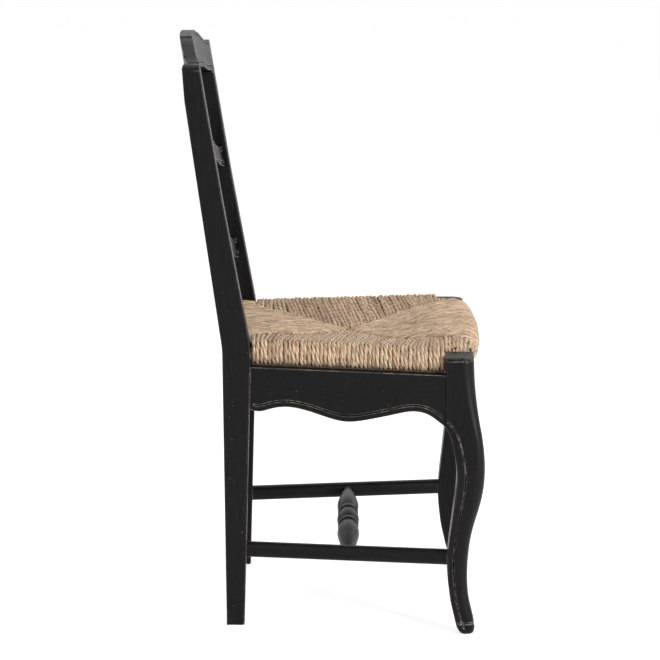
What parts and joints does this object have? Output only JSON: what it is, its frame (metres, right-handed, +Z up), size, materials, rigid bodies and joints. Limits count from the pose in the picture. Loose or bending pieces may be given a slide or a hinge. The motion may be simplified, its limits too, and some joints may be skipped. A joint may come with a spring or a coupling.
{
  "type": "side chair",
  "caption": "Ladder-back side chair with a woven rush seat, cabriole front legs, scalloped aprons, curved slats and a turned cross stretcher.",
  "frame": {"origin": "centre of the footprint on the floor: the middle of the chair's box in X and Y, at the level of the feet", "axes": "+X to the sitter's left, +Y to the back of the chair, +Z up; the front faces -Y"},
  "size_m": [0.506, 0.492, 0.951],
  "materials": {
    "painted_wood": "black satin paint, rubbed through along the edges",
    "rush": "twisted natural rush, matt",
    "raw_wood": "unpainted, covered by the rush"
  },
  "bodies": {
    "root": {"back_post_left": "painted_wood", "back_post_right": "painted_wood", "front_leg_left": "painted_wood", "front_leg_right": "painted_wood", "crest_rail": "painted_wood", "upper_slat": "painted_wood", "lower_slat": "painted_wood", "front_apron": "painted_wood", "back_apron": "painted_wood", "side_apron_left": "painted_wood", "side_apron_right": "painted_wood", "side_stretcher_left": "painted_wood", "side_stretcher_right": "painted_wood", "cross_stretcher": "painted_wood", "seat_rail_front": "raw_wood", "seat_rail_back": "raw_wood", "seat_rail_left": "raw_wood", "seat_rail_right": "raw_wood", "rush_seat": "rush", "seat_stuffing": "rush"}
  },
  "joints": []
}
